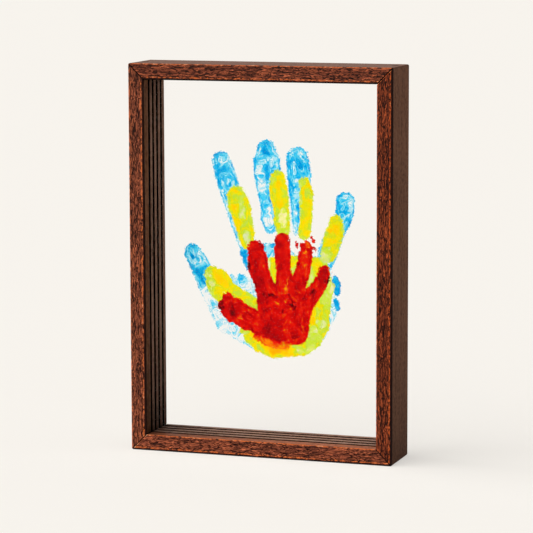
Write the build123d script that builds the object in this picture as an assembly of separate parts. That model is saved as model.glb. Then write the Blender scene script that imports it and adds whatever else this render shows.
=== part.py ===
"""Handprint frame: a deep wooden frame whose grooves hold four clear sheets, three of them printed.

Millimetres. Origin at the centre of the base, +Z up, the front face towards -Y. The front, seen
from -Y, has +X on its right.
"""

import os

from build123d import *

# Frame
FRAME_WIDTH = 210.0
FRAME_HEIGHT = 300.0
FRAME_DEPTH = 45.0
RAIL_FACE = 12.5
ARRIS_RADIUS = 1.0
CORNER_RADIUS = 1.5

# Grooves round the inside, counted from the front
GROOVE_WIDTH = 3.0
GROOVE_DEPTH = 4.0
GROOVE_PITCH = 8.5
FRONT_LIP = 10.0
GROOVE_COUNT = 4

# Mitres: the top pair stays a hair open because the top rail lifts off
TOP_MITRE_GAP = 0.15
MITRE_EASING = 0.5
MITRE_ANGLE = 45

# Clear sheets
SHEET_THICKNESS = 2.0
SHEET_SIDE_CLEARANCE = 0.5
SHEET_FLOOR_CLEARANCE = 0.1
SHEET_TOP_CLEARANCE = 0.5
SHEET_CORNER_RADIUS = 1.5
PAINT_THICKNESS = 0.25

# Countersunk screws through the ends of the top rail into the stiles
SCREW_INSET = 5.0
SCREW_LENGTH = 25.0
SCREW_HEAD_DIAMETER = 5.8
SCREW_HEAD_RIM = 0.3
SCREW_SUNK = 0.2
SCREW_THREAD_DIAMETER = 2.9
SCREW_CORE_DIAMETER = 2.0
SCREW_THREAD_PITCH = 1.3
THREAD_RUN_OUT = 0.5
THREAD_ROOT_SHARE = 0.35
THREAD_CREST_SHARE = 0.6
SCREW_SHANK = 8.0
SCREW_TIP = 3.0
CROSS_RECESS_SPAN = 3.0
CROSS_RECESS_WIDTH = 0.7
CROSS_RECESS_DEPTH = 1.2
SCREW_SEAT_CLEARANCE = 0.1
RAIL_HOLE_DIAMETER = 3.2
STILE_HOLE_DIAMETER = 3.0
STILE_HOLE_EXTRA = 1.0

# V nails in the back of the bottom mitres: distance of each apex from the outer faces
V_NAIL_INSETS = (2.4, 5.6)
V_NAIL_LEG = 4.0
V_NAIL_METAL = 0.5
V_NAIL_DEPTH = 10.0

# Hands. Each limb or pad is a chain of circles (x, z, radius) joined by their common tangents.
BLUE_HAND = {
    "index": [
        (-42.5, 223.5, 7.5), (-40.0, 215.0, 8.5), (-36.5, 204.0, 8.5), (-32.0, 190.0, 8.0),
        (-26.5, 174.5, 8.0), (-22.5, 161.5, 7.0), (-21.0, 154.0, 6.0),
    ],
    "index_spur": [(-25.0, 153.0, 2.5), (-23.0, 145.5, 2.0), (-21.5, 140.0, 1.0)],
    "middle": [
        (-6.0, 233.5, 7.5), (-5.5, 224.0, 11.0), (-5.0, 214.0, 11.0), (-4.0, 201.5, 9.5),
        (-2.5, 189.5, 8.0), (-3.5, 180.5, 7.0), (-2.5, 174.0, 5.5),
    ],
    "ring": [
        (19.0, 227.0, 9.0), (20.5, 215.0, 10.0), (20.5, 202.5, 8.5), (20.0, 190.5, 6.5),
        (19.0, 179.0, 4.5), (18.0, 170.0, 2.0),
    ],
    "little": [
        (57.5, 195.0, 7.5), (57.0, 186.5, 7.5), (55.0, 179.0, 6.5), (50.5, 172.5, 7.0),
        (47.0, 164.5, 7.5), (43.5, 155.5, 8.0), (41.0, 147.5, 7.0),
    ],
    "thumb": [
        (-66.5, 151.5, 7.0), (-62.5, 145.0, 8.0), (-58.5, 137.5, 8.5), (-53.5, 126.5, 8.5),
        (-48.0, 116.0, 8.5), (-41.5, 106.0, 10.5), (-36.5, 101.0, 12.5),
    ],
    "web": [(-26.5, 132.0, 4.5), (-22.0, 126.0, 7.0), (-20.0, 119.0, 9.0), (-31.0, 111.5, 9.0)],
    "web_peak": [(-34.0, 134.5, 1.5), (-31.5, 128.5, 3.0), (-29.5, 122.5, 7.0)],
    "heel": [
        (-36.5, 101.0, 12.5), (-27.0, 99.0, 15.0), (-11.5, 93.0, 16.5), (3.5, 91.0, 16.5),
        (18.0, 92.0, 16.0),
    ],
    "edge": [
        (18.0, 92.0, 16.0), (27.5, 99.0, 15.0), (36.0, 111.0, 11.0), (38.5, 122.5, 9.5),
        (38.0, 134.5, 9.0), (36.5, 144.5, 8.0),
    ],
    "knuckles": [
        (36.5, 144.5, 8.0), (26.5, 142.5, 9.5), (15.5, 141.5, 10.5), (3.5, 150.0, 11.5),
        (-9.0, 150.5, 10.5),
    ],
    "hollow": [
        (-5.0, 140.0, 11.5), (-7.5, 126.0, 13.5), (-6.0, 110.5, 20.5), (11.5, 117.5, 20.5),
        (27.0, 127.5, 9.5),
    ],
    "edge_mark": [(50.5, 134.5, 3.0), (52.0, 128.0, 3.0), (50.5, 125.0, 2.5)],
    "edge_dab": [(48.5, 118.5, 2.5), (51.0, 114.0, 2.5)],
}
YELLOW_HAND = {
    "index": [
        (-27.5, 198.5, 7.5), (-26.0, 192.5, 9.0), (-23.5, 185.5, 8.5), (-21.5, 177.0, 7.5),
        (-19.5, 168.0, 7.0), (-18.0, 161.5, 5.5),
    ],
    "middle": [
        (6.0, 212.5, 6.0), (6.5, 204.5, 7.5), (7.5, 197.5, 7.5), (9.0, 187.0, 6.5),
        (9.5, 178.0, 6.5), (10.5, 172.5, 5.5),
    ],
    "ring": [
        (27.5, 209.5, 4.5), (29.0, 203.0, 5.5), (29.0, 194.5, 5.5), (29.0, 185.5, 5.0),
        (28.0, 176.5, 5.0), (27.5, 171.0, 5.0),
    ],
    "little": [
        (53.0, 180.5, 5.5), (52.5, 174.5, 7.0), (50.0, 167.0, 7.5), (48.0, 159.0, 7.0),
        (46.0, 154.5, 6.0),
    ],
    "thumb": [
        (-47.5, 136.0, 6.5), (-42.0, 132.5, 8.5), (-37.5, 129.5, 7.0), (-33.5, 125.5, 5.5),
        (-26.0, 121.0, 5.5), (-18.0, 116.0, 6.5), (-11.0, 109.5, 7.0),
    ],
    "thumb_side": [(-48.0, 130.0, 5.0), (-43.5, 121.5, 5.0), (-38.5, 116.5, 4.5)],
    "heel": [
        (-18.5, 94.5, 6.5), (-14.5, 91.0, 8.5), (-6.0, 87.0, 11.0), (3.5, 85.5, 12.5),
        (14.0, 87.0, 12.5), (23.5, 89.0, 13.5), (29.5, 92.0, 12.5),
    ],
    "edge": [
        (29.5, 92.0, 12.5), (37.0, 102.0, 12.0), (41.0, 112.5, 10.0), (42.0, 124.0, 8.5),
        (41.0, 135.5, 7.0), (39.5, 145.0, 7.5),
    ],
    "knuckles": [
        (39.5, 145.0, 7.5), (30.5, 144.5, 8.0), (19.5, 145.5, 8.0), (10.5, 144.5, 8.0),
        (0.5, 143.5, 7.5),
    ],
    "hollow": [
        (2.0, 134.0, 11.0), (5.0, 120.0, 15.0), (7.5, 105.5, 19.0), (21.0, 111.5, 19.0),
        (23.5, 131.0, 16.0),
    ],
}
RED_HAND = {
    "index": [
        (-8.5, 159.0, 6.5), (-7.5, 151.5, 8.0), (-7.0, 144.0, 8.5), (-3.0, 133.5, 7.5),
        (0.0, 126.0, 9.5),
    ],
    "middle": [(12.5, 165.0, 6.5), (12.5, 155.0, 6.5), (13.5, 143.5, 6.0), (14.5, 132.0, 8.0)],
    "ring": [
        (31.5, 160.5, 5.5), (31.0, 153.0, 6.0), (29.0, 144.0, 6.0), (26.0, 135.0, 6.5),
        (22.5, 127.0, 8.0),
    ],
    "little": [
        (46.0, 143.0, 5.0), (45.0, 137.5, 5.5), (40.0, 129.5, 6.0), (34.5, 122.5, 7.0),
        (29.0, 117.0, 8.0),
    ],
    "thumb": [
        (-31.5, 118.0, 5.5), (-26.0, 113.0, 7.5), (-19.0, 107.5, 8.0), (-10.5, 103.0, 9.0),
        (-2.0, 100.0, 11.0),
    ],
    "thumb_tip": [(-37.0, 114.5, 3.5), (-32.5, 109.0, 5.0), (-30.0, 103.0, 2.5)],
    "thumb_pad": [(-30.5, 110.5, 6.0), (-24.0, 104.0, 5.0), (-17.0, 99.5, 4.5)],
    "heel": [(1.0, 95.5, 11.0), (11.5, 95.5, 11.0), (22.5, 96.5, 11.0)],
    "edge": [(22.5, 96.5, 11.0), (25.0, 108.0, 10.0), (29.0, 117.0, 8.5)],
    "hollow": [(0.0, 126.0, 9.5), (5.0, 116.0, 13.5), (10.5, 109.5, 15.0), (18.5, 116.5, 12.0)],
    "ring_flake": [(36.0, 169.0, 1.5), (37.5, 166.0, 1.5)],
    "ring_edge": [(38.0, 161.5, 1.5), (39.0, 159.5, 1.0)],
    "ring_chip": [(24.5, 164.0, 1.0), (25.0, 161.0, 1.0)],
}

# Worked out from the values above
HALF_WIDTH = FRAME_WIDTH / 2
HALF_DEPTH = FRAME_DEPTH / 2
FIRST_GROOVE_Y = -HALF_DEPTH + FRONT_LIP + GROOVE_WIDTH / 2
GROOVE_CENTRES = [FIRST_GROOVE_Y + GROOVE_PITCH * n for n in range(GROOVE_COUNT)]
GROOVE_HALF_SPAN = HALF_WIDTH - RAIL_FACE + GROOVE_DEPTH
GROOVE_BOTTOM_Z = RAIL_FACE - GROOVE_DEPTH
GROOVE_TOP_Z = FRAME_HEIGHT - GROOVE_BOTTOM_Z
SCREW_X = HALF_WIDTH - SCREW_INSET
SCREW_Y = (GROOVE_CENTRES[1] + GROOVE_CENTRES[2]) / 2
SCREW_HEAD_Z = FRAME_HEIGHT - SCREW_SUNK
BEYOND = 10.0
CLOSE = 0.01


def inner_window():
    """The block of air inside the frame, longer than the frame is deep."""
    height = FRAME_HEIGHT - 2 * RAIL_FACE
    window = Box(FRAME_WIDTH - 2 * RAIL_FACE, FRAME_DEPTH + 2 * BEYOND, height)
    return Pos(0, 0, FRAME_HEIGHT / 2) * window


def eased_block():
    """The outer block of the frame with its corners and arrises rounded."""
    block = Pos(0, 0, FRAME_HEIGHT / 2) * Box(FRAME_WIDTH, FRAME_DEPTH, FRAME_HEIGHT)
    block = fillet(block.edges().filter_by(Axis.Y), CORNER_RADIUS)
    faces = block.faces().filter_by(Axis.Y)
    return fillet(faces.edges(), ARRIS_RADIUS)


def window_arrises(ring):
    """The edges where the inside of the frame meets its front and back faces."""
    half = HALF_WIDTH - RAIL_FACE + CLOSE
    low = RAIL_FACE - CLOSE
    high = FRAME_HEIGHT - RAIL_FACE + CLOSE
    found = []
    for edge in ring.edges():
        spot = edge.center()
        on_face = abs(abs(spot.Y) - HALF_DEPTH) < CLOSE
        if on_face and abs(spot.X) < half and low < spot.Z < high:
            found.append(edge)
    return found


def groove(centre_y):
    """One groove round all four inner faces."""
    height = GROOVE_TOP_Z - GROOVE_BOTTOM_Z
    slot = Box(2 * GROOVE_HALF_SPAN, GROOVE_WIDTH, height)
    return Pos(0, centre_y, FRAME_HEIGHT / 2) * slot


def mitre_easing(side, at_top, face_y):
    """A fine bar on its edge along one mitre line, which leaves a shallow V when cut away."""
    mid = HALF_WIDTH - RAIL_FACE / 2
    z = FRAME_HEIGHT - RAIL_FACE / 2 if at_top else RAIL_FACE / 2
    rises = side if at_top else -side
    bar = Box(2 * RAIL_FACE, MITRE_EASING, MITRE_EASING)
    return Pos(side * mid, face_y, z) * Rot(0, -MITRE_ANGLE * rises, 0) * Rot(45, 0, 0) * bar


def frame_ring():
    """All four rails as one ring, before the mitres divide it."""
    ring = eased_block() - inner_window()
    ring = fillet(window_arrises(ring), ARRIS_RADIUS)
    for centre_y in GROOVE_CENTRES:
        ring -= groove(centre_y)
    for side in (-1, 1):
        for at_top in (False, True):
            for face_y in (-HALF_DEPTH, HALF_DEPTH):
                ring -= mitre_easing(side, at_top, face_y)
    return ring


def wedge(points):
    """A block between mitre planes: an outline in X and Z, through the whole depth."""
    face = make_face(Polyline(*[(x, 0, z) for x, z in points], close=True))
    return extrude(face, amount=FRAME_DEPTH, dir=(0, 1, 0), both=True)


def stile_wedge(side):
    inside = side * (HALF_WIDTH - RAIL_FACE - BEYOND)
    outside = side * (HALF_WIDTH + BEYOND)
    low = RAIL_FACE + BEYOND
    return wedge([
        (outside, -BEYOND),
        (inside, low),
        (inside, FRAME_HEIGHT - low),
        (outside, FRAME_HEIGHT + BEYOND),
    ])


def rail_wedge(at_top):
    """The bottom rail's block, or the top rail's, raised by the gap in its mitres."""
    def height(z):
        return FRAME_HEIGHT - z + TOP_MITRE_GAP if at_top else z

    inner = HALF_WIDTH - RAIL_FACE - BEYOND
    outer = HALF_WIDTH + BEYOND
    return wedge([
        (-outer, height(-BEYOND)),
        (-inner, height(RAIL_FACE + BEYOND)),
        (inner, height(RAIL_FACE + BEYOND)),
        (outer, height(-BEYOND)),
    ])


def v_nail(side, inset):
    """One bent steel strip: an apex on the mitre line, a leg up the stile and one along the rail."""
    x = side * (HALF_WIDTH - inset)
    y = HALF_DEPTH - V_NAIL_DEPTH / 2
    reach = V_NAIL_LEG - V_NAIL_METAL / 2
    up = Box(V_NAIL_METAL, V_NAIL_DEPTH, V_NAIL_LEG + V_NAIL_METAL / 2)
    along = Box(V_NAIL_LEG + V_NAIL_METAL / 2, V_NAIL_DEPTH, V_NAIL_METAL)
    return Pos(x, y, inset + reach / 2) * up + Pos(x - side * reach / 2, y, inset) * along


def top_screw(side):
    """A countersunk screw with a cross recess: plain shank, ringed thread and a point."""
    rim = SCREW_HEAD_DIAMETER / 2
    shank = SCREW_THREAD_DIAMETER / 2
    core = SCREW_CORE_DIAMETER / 2
    thread_top = -SCREW_SHANK
    thread_end = -(SCREW_LENGTH - SCREW_TIP)
    outline = [(0, 0), (rim, 0), (rim, -SCREW_HEAD_RIM), (shank, -SCREW_HEAD_RIM - (rim - shank))]
    outline += [(shank, thread_top), (core, thread_top - THREAD_RUN_OUT)]
    turns = int((thread_top - THREAD_RUN_OUT - thread_end) / SCREW_THREAD_PITCH)
    for turn in range(turns):
        z = thread_top - THREAD_RUN_OUT - turn * SCREW_THREAD_PITCH
        outline.append((core, z - THREAD_ROOT_SHARE * SCREW_THREAD_PITCH))
        outline.append((shank, z - THREAD_CREST_SHARE * SCREW_THREAD_PITCH))
        outline.append((core, z - SCREW_THREAD_PITCH))
    outline += [(core, thread_end), (0, -SCREW_LENGTH)]
    profile = make_face(Polyline(*[(r, 0, z) for r, z in outline], close=True))
    screw = revolve(profile, Axis.Z)
    for angle in (0, 90):
        slot = Box(CROSS_RECESS_SPAN, CROSS_RECESS_WIDTH, 2 * CROSS_RECESS_DEPTH)
        screw -= Rot(0, 0, angle) * slot
    return Pos(side * SCREW_X, SCREW_Y, SCREW_HEAD_Z) * screw


def screw_seat(side):
    """What is cut from the top rail for one screw: the countersink and a clearance hole."""
    rim = SCREW_HEAD_DIAMETER / 2 + SCREW_SEAT_CLEARANCE
    hole = RAIL_HOLE_DIAMETER / 2
    rim_bottom = SCREW_SUNK + SCREW_HEAD_RIM
    cone_end = rim_bottom + rim - hole
    outline = [(0, 1), (rim, 1), (rim, -rim_bottom), (hole, -cone_end)]
    outline += [(hole, -2 * RAIL_FACE), (0, -2 * RAIL_FACE)]
    profile = make_face(Polyline(*[(r, 0, z) for r, z in outline], close=True))
    return Pos(side * SCREW_X, SCREW_Y, FRAME_HEIGHT) * revolve(profile, Axis.Z)


def stile_hole(side):
    """The hole that the screw's thread runs in, down the stile from its mitre."""
    depth = SCREW_LENGTH + SCREW_SUNK + STILE_HOLE_EXTRA
    hole = Cylinder(STILE_HOLE_DIAMETER / 2, depth)
    return Pos(side * SCREW_X, SCREW_Y, FRAME_HEIGHT - depth / 2) * hole


def clear_sheet(centre_y):
    """One clear sheet with rounded corners, standing on the bottom of its groove."""
    low = GROOVE_BOTTOM_Z + SHEET_FLOOR_CLEARANCE
    high = GROOVE_TOP_Z - SHEET_TOP_CLEARANCE
    width = 2 * (GROOVE_HALF_SPAN - SHEET_SIDE_CLEARANCE)
    sheet = Box(width, SHEET_THICKNESS, high - low)
    sheet = fillet(sheet.edges().filter_by(Axis.Y), SHEET_CORNER_RADIUS)
    return Pos(0, centre_y, (low + high) / 2) * sheet


def limb(first, second):
    """Two circles joined by their outer tangents, drawn flat with x to the right and z up."""
    rounds = [Pos(x, z) * Circle(radius) for x, z, radius in (first, second)]
    return make_hull(rounds[0].edges() + rounds[1].edges())


def handprint(hand, sheet_y):
    """One paint film on the front face of its sheet: palm pads, four fingers and a thumb."""
    outline = Sketch()
    for chain in hand.values():
        for first, second in zip(chain, chain[1:]):
            outline += limb(first, second)
    front = Plane((0, sheet_y - SHEET_THICKNESS / 2, 0), x_dir=(1, 0, 0), z_dir=(0, -1, 0))
    return extrude(front * outline, amount=PAINT_THICKNESS)


def build():
    """Every node by name."""
    ring = frame_ring()
    nodes = {}
    for name, side in (("left", -1), ("right", 1)):
        nails = [v_nail(side, inset) for inset in V_NAIL_INSETS]
        nodes["v_nails_" + name] = Compound(children=nails)
        nodes[name + "_stile"] = (ring & stile_wedge(side)) - stile_hole(side) - nails[0] - nails[1]
        nodes["top_screw_" + name] = top_screw(side)
    bottom = ring & rail_wedge(at_top=False)
    top = ring & rail_wedge(at_top=True)
    for side in (-1, 1):
        top -= screw_seat(side)
        for inset in V_NAIL_INSETS:
            bottom -= v_nail(side, inset)
    nodes["bottom_rail"] = bottom
    nodes["top_rail"] = top
    nodes["front_clear_sheet"] = clear_sheet(GROOVE_CENTRES[0])
    prints = (("red", RED_HAND), ("yellow", YELLOW_HAND), ("blue", BLUE_HAND))
    for (colour, hand), centre_y in zip(prints, GROOVE_CENTRES[1:]):
        nodes[colour + "_print_sheet"] = clear_sheet(centre_y)
        nodes[colour + "_handprint"] = handprint(hand, centre_y)
    return nodes


os.makedirs("parts", exist_ok=True)
for node, shape in build().items():
    export_step(shape, "parts/" + node + ".step")
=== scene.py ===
import math

import bmesh
import bpy
import numpy as np
from mathutils import Matrix, Vector, noise


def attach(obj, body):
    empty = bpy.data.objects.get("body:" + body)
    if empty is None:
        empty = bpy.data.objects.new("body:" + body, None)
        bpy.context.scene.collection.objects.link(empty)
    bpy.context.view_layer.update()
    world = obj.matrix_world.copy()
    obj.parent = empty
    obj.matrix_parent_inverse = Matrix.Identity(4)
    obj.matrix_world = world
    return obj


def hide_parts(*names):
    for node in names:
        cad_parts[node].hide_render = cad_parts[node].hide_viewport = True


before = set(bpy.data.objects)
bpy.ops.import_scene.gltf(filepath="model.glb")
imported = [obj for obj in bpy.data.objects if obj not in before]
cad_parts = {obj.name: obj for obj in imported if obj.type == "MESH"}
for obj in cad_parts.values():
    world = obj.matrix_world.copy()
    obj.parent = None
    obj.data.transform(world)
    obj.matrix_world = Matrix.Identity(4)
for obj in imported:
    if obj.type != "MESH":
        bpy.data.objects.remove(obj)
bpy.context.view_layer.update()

MM = 0.001

# Sizes of the solids, in mm, that the pieces below fit
FRAME_WIDTH = 210.0
FRAME_HEIGHT = 300.0
FRAME_DEPTH = 45.0
RAIL_FACE = 12.5
ARRIS_RADIUS = 1.0
CORNER_RADIUS = 1.5
GROOVE_WIDTH = 3.0
GROOVE_DEPTH = 4.0
GROOVE_CENTRES = (-11.0, -2.5, 6.0, 14.5)
TOP_MITRE_GAP = 0.15
SHEET_THICKNESS = 2.0
SHEET_HALF_WIDTH = 96.0
SHEET_LOW = 8.6
SHEET_HIGH = 291.0
SHEET_CORNER_RADIUS = 1.5
PAINT_THICKNESS = 0.25
SCREW_X = 100.0
SCREW_Y = 1.75

HALF_WIDTH = FRAME_WIDTH / 2
HALF_HEIGHT = FRAME_HEIGHT / 2
HALF_DEPTH = FRAME_DEPTH / 2

# Hands: each limb or pad is a chain of circles (x, z, radius) in mm
BLUE_HAND = {
    "index": [
        (-42.5, 223.5, 7.5), (-40, 215, 8.5), (-36.5, 204, 8.5), (-32, 190, 8),
        (-26.5, 174.5, 8), (-22.5, 161.5, 7), (-21, 154, 6),
    ],
    "index_spur": [(-25, 153, 2.5), (-23, 145.5, 2), (-21.5, 140, 1)],
    "middle": [
        (-6, 233.5, 7.5), (-5.5, 224, 11), (-5, 214, 11), (-4, 201.5, 9.5),
        (-2.5, 189.5, 8), (-3.5, 180.5, 7), (-2.5, 174, 5.5),
    ],
    "ring": [
        (19, 227, 9), (20.5, 215, 10), (20.5, 202.5, 8.5), (20, 190.5, 6.5),
        (19, 179, 4.5), (18, 170, 2),
    ],
    "little": [
        (57.5, 195, 7.5), (57, 186.5, 7.5), (55, 179, 6.5), (50.5, 172.5, 7),
        (47, 164.5, 7.5), (43.5, 155.5, 8), (41, 147.5, 7),
    ],
    "thumb": [
        (-66.5, 151.5, 7), (-62.5, 145, 8), (-58.5, 137.5, 8.5), (-53.5, 126.5, 8.5),
    ],
    "thumb_root": [
        (-53.5, 126.5, 8.5), (-48, 116, 8.5), (-41.5, 106, 10.5), (-36.5, 101, 12.5),
    ],
    "web": [(-26.5, 132, 4.5), (-22, 126, 7), (-20, 119, 9), (-31, 111.5, 9)],
    "web_peak": [(-34, 134.5, 1.5), (-31.5, 128.5, 3), (-29.5, 122.5, 7)],
    "heel": [
        (-36.5, 101, 12.5), (-27, 99, 15), (-11.5, 93, 16.5), (3.5, 91, 16.5),
        (18, 92, 16),
    ],
    "edge": [
        (18, 92, 16), (29.5, 98.5, 15), (39, 110, 11.5), (41, 122.5, 9.5),
        (38, 134.5, 9), (36.5, 144.5, 8),
    ],
    "knuckles": [
        (36.5, 144.5, 8), (26.5, 142.5, 9.5), (15.5, 141.5, 10.5), (3.5, 150, 11.5),
        (-9, 150.5, 10.5),
    ],
    "hollow": [
        (-5, 140, 11.5), (-7.5, 126, 13.5), (-6, 110.5, 20.5), (11.5, 117.5, 20.5),
        (27, 127.5, 9.5),
    ],
    "edge_mark": [(49, 136, 2.5), (50, 131, 4), (50.5, 126, 3.5)],
    "edge_dab": [(46.5, 121, 2.5), (50, 116.5, 3), (51.5, 113, 2.2)],
}
YELLOW_HAND = {
    "index": [
        (-27.5, 198.5, 7.5), (-26, 192.5, 9), (-23.5, 185.5, 8.5), (-21.5, 177, 7.5),
        (-19.5, 168, 7), (-18, 161.5, 5.5),
    ],
    "middle": [
        (6, 212.5, 6), (6.5, 204.5, 7.5), (7.5, 197.5, 7.5), (9, 187, 6.5),
        (9.5, 178, 6.5), (10.5, 172.5, 5.5),
    ],
    "ring": [
        (27.5, 209.5, 4.5), (29, 203, 5.5), (29, 194.5, 5.5), (29, 185.5, 5),
        (28, 176.5, 5), (27.5, 171, 5),
    ],
    "little": [
        (53, 180.5, 5.5), (52.5, 174.5, 7), (50, 167, 7.5), (48, 159, 7),
        (46, 154.5, 6),
    ],
    "thumb": [
        (-47.5, 136, 6.5), (-42, 132.5, 8.5), (-37.5, 129.5, 7), (-33.5, 125.5, 5.5),
        (-26, 121, 5.5), (-18, 116, 6.5), (-11, 109.5, 7),
    ],
    "thumb_side": [(-48, 130, 5), (-43.5, 121.5, 5), (-38.5, 116.5, 4.5)],
    "heel": [
        (-18.5, 94.5, 6.5), (-14.5, 91, 8.5), (-6, 87, 11), (3.5, 85.5, 12.5),
        (14, 87, 12.5), (23.5, 89, 13.5), (29.5, 92, 12.5),
    ],
    "edge": [
        (29.5, 92, 12.5), (36, 102, 11.5), (39.5, 112.5, 9), (41.5, 124, 8),
        (41, 135.5, 7), (39.5, 145, 7.5),
    ],
    "edge_thin": [(46, 138, 2.5), (48, 131, 3.5), (47.5, 124, 3)],
    "knuckles": [
        (39.5, 145, 7.5), (30.5, 144.5, 8), (19.5, 145.5, 8), (10.5, 144.5, 8),
        (0.5, 143.5, 7.5),
    ],
    "hollow": [
        (2, 134, 11), (5, 120, 15), (7.5, 105.5, 19), (21, 111.5, 19),
        (23.5, 131, 16),
    ],
}
RED_HAND = {
    "index": [
        (-8.5, 159, 6.5), (-7.5, 151.5, 8), (-7, 144, 8.5), (-3, 133.5, 7.5),
        (0, 126, 9.5),
    ],
    "middle": [(12.5, 165, 6.5), (12.5, 155, 6.5), (13.5, 143.5, 6), (14.5, 132, 8)],
    "ring": [
        (31.5, 160.5, 5.5), (31, 153, 6), (29, 144, 6), (26, 135, 6.5),
        (22.5, 127, 8),
    ],
    "little": [
        (46, 143, 5), (45, 137.5, 5.5), (40, 129.5, 6), (34.5, 122.5, 7),
        (29, 117, 8),
    ],
    "thumb": [
        (-31.5, 118, 5.5), (-26, 113, 7.5), (-19, 107.5, 8), (-10.5, 103, 9),
        (-2, 100, 11),
    ],
    "thumb_tip": [(-37, 114.5, 3.5), (-32.5, 109, 5), (-30, 103, 2.5)],
    "thumb_pad": [(-30.5, 110.5, 6), (-24, 104, 5), (-17, 99.5, 4.5)],
    "heel": [(1, 95.5, 11), (11.5, 95.5, 11), (22.5, 96.5, 11)],
    "edge": [(22.5, 96.5, 11), (25, 108, 10), (29, 117, 8.5)],
    "hollow": [(0, 126, 9.5), (5, 116, 13.5), (10.5, 109.5, 15), (18.5, 116.5, 12)],
    "heel_thin": [(-10, 90.5, 1.5), (-2, 86.5, 2.4), (8, 84, 2.2), (17, 84, 1.5)],
    "ring_flake": [(36, 169, 1), (37.5, 166, 1.2)],
    "ring_edge": [(38, 161.5, 1.2), (39, 159.5, 0.8)],
    "ring_chip": [(24.5, 164, 1), (25, 161, 1)],
}


def linear(code):
    """An sRGB hex colour as the linear RGBA that a socket takes."""
    channels = []
    for start in (0, 2, 4):
        value = int(code[start:start + 2], 16) / 255
        channels.append(value / 12.92 if value <= 0.04045 else ((value + 0.055) / 1.055) ** 2.4)
    return (*channels, 1.0)


def add(tree, kind, inputs=None, stops=None, **settings):
    """Adds a node: its settings, a ramp's stops, and what each input takes, a value or another output."""
    node = tree.nodes.new(kind)
    for name, value in settings.items():
        setattr(node, name, value)
    if stops:
        elements = node.color_ramp.elements
        while len(elements) < len(stops):
            elements.new(1.0)
        for element, (position, code) in zip(elements, stops):
            element.position = position
            element.color = linear(code)
    for key, value in (inputs or {}).items():
        if isinstance(value, bpy.types.NodeSocket):
            tree.links.new(value, node.inputs[key])
        else:
            node.inputs[key].default_value = value
    return node


def new_material(name):
    """An empty material and its tree."""
    material = bpy.data.materials.new(name)
    material.use_nodes = True
    material.node_tree.nodes.clear()
    return material, material.node_tree


def finish_material(tree, shader):
    add(tree, "ShaderNodeOutputMaterial", {"Surface": shader})


def new_piece(name, bm, materials, smooth_angle=None):
    """Makes the object of a finished mesh, drawn in mm, at the origin."""
    bmesh.ops.transform(bm, matrix=Matrix.Scale(MM, 4), verts=bm.verts[:])
    mesh = bpy.data.meshes.new(name)
    bm.to_mesh(mesh)
    bm.free()
    for material in materials:
        mesh.materials.append(material)
    if smooth_angle:
        mesh.shade_smooth()
        mesh.set_sharp_from_angle(angle=math.radians(smooth_angle))
    piece = bpy.data.objects.new(name, mesh)
    bpy.context.scene.collection.objects.link(piece)
    return piece


def wander(x, y, z):
    """Smooth noise at every point of three arrays, about -1 to 1."""
    flat = zip(np.ravel(x).tolist(), np.ravel(y).tolist(), np.ravel(z).tolist())
    values = [noise.noise(Vector(spot)) for spot in flat]
    return np.array(values).reshape(np.shape(x))


def ripple(x, z, size, seed):
    """Smooth noise over a plane, with waves of about this size."""
    return wander(x / size, z / size, np.full_like(x, seed))


def ease(value, low, high):
    """0 below low, 1 above high and a smooth step between."""
    share = np.clip((value - low) / (high - low), 0, 1)
    return share * share * (3 - 2 * share)


def drawn_out(tree, along, seed, sizes):
    """Noises drawn out along the grain, one for each (length, width) in mm, on gently swirling lines."""
    coords = add(tree, "ShaderNodeTexCoord").outputs["Object"]
    drift = add(tree, "ShaderNodeTexNoise", {
        "Vector": coords, "Scale": 1 / (SWIRL_SIZE * MM), "Detail": 1.0})
    centred = add(tree, "ShaderNodeVectorMath", {0: drift.outputs["Color"], 1: (0.5, 0.5, 0.5)},
                  operation="SUBTRACT")
    swirl = add(tree, "ShaderNodeVectorMath", {0: centred.outputs[0], "Scale": SWIRL_REACH * MM},
                operation="SCALE")
    figured = add(tree, "ShaderNodeVectorMath", {0: coords, 1: swirl.outputs[0]}, operation="ADD")
    noises = []
    for number, (length, width) in enumerate(sizes):
        scale = [1 / (width * MM)] * 3
        scale[along] = 1 / (length * MM)
        place = add(tree, "ShaderNodeMapping", {
            "Vector": figured.outputs[0], "Scale": scale,
            "Location": (seed + number, seed * 2.0, number * 3.0)})
        pattern = add(tree, "ShaderNodeTexNoise", {
            "Vector": place.outputs["Vector"], "Scale": 1.0, "Detail": 2.0, "Roughness": 0.55})
        noises.append(pattern.outputs["Fac"])
    return noises


# Front: stained hardwood, brushed so that its grain stands open. The eye sees fine black cracks with
# short orange fibres between them in a dark red-brown, arrises of worn stain and painted highlight,
# and painted shade beside the arrises that face away from the light. The cracks are drawn as wide as
# they need to be to show.
SWIRL_SIZE = 9.0
SWIRL_REACH = 2.4
MARK_BREAK_SHARE = 3.6
BARE_WEAR_AND_HIGHLIGHT = (2.6, 2.9)
PALE_WEAR_AND_HIGHLIGHT = (3.3, 3.6)


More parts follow.
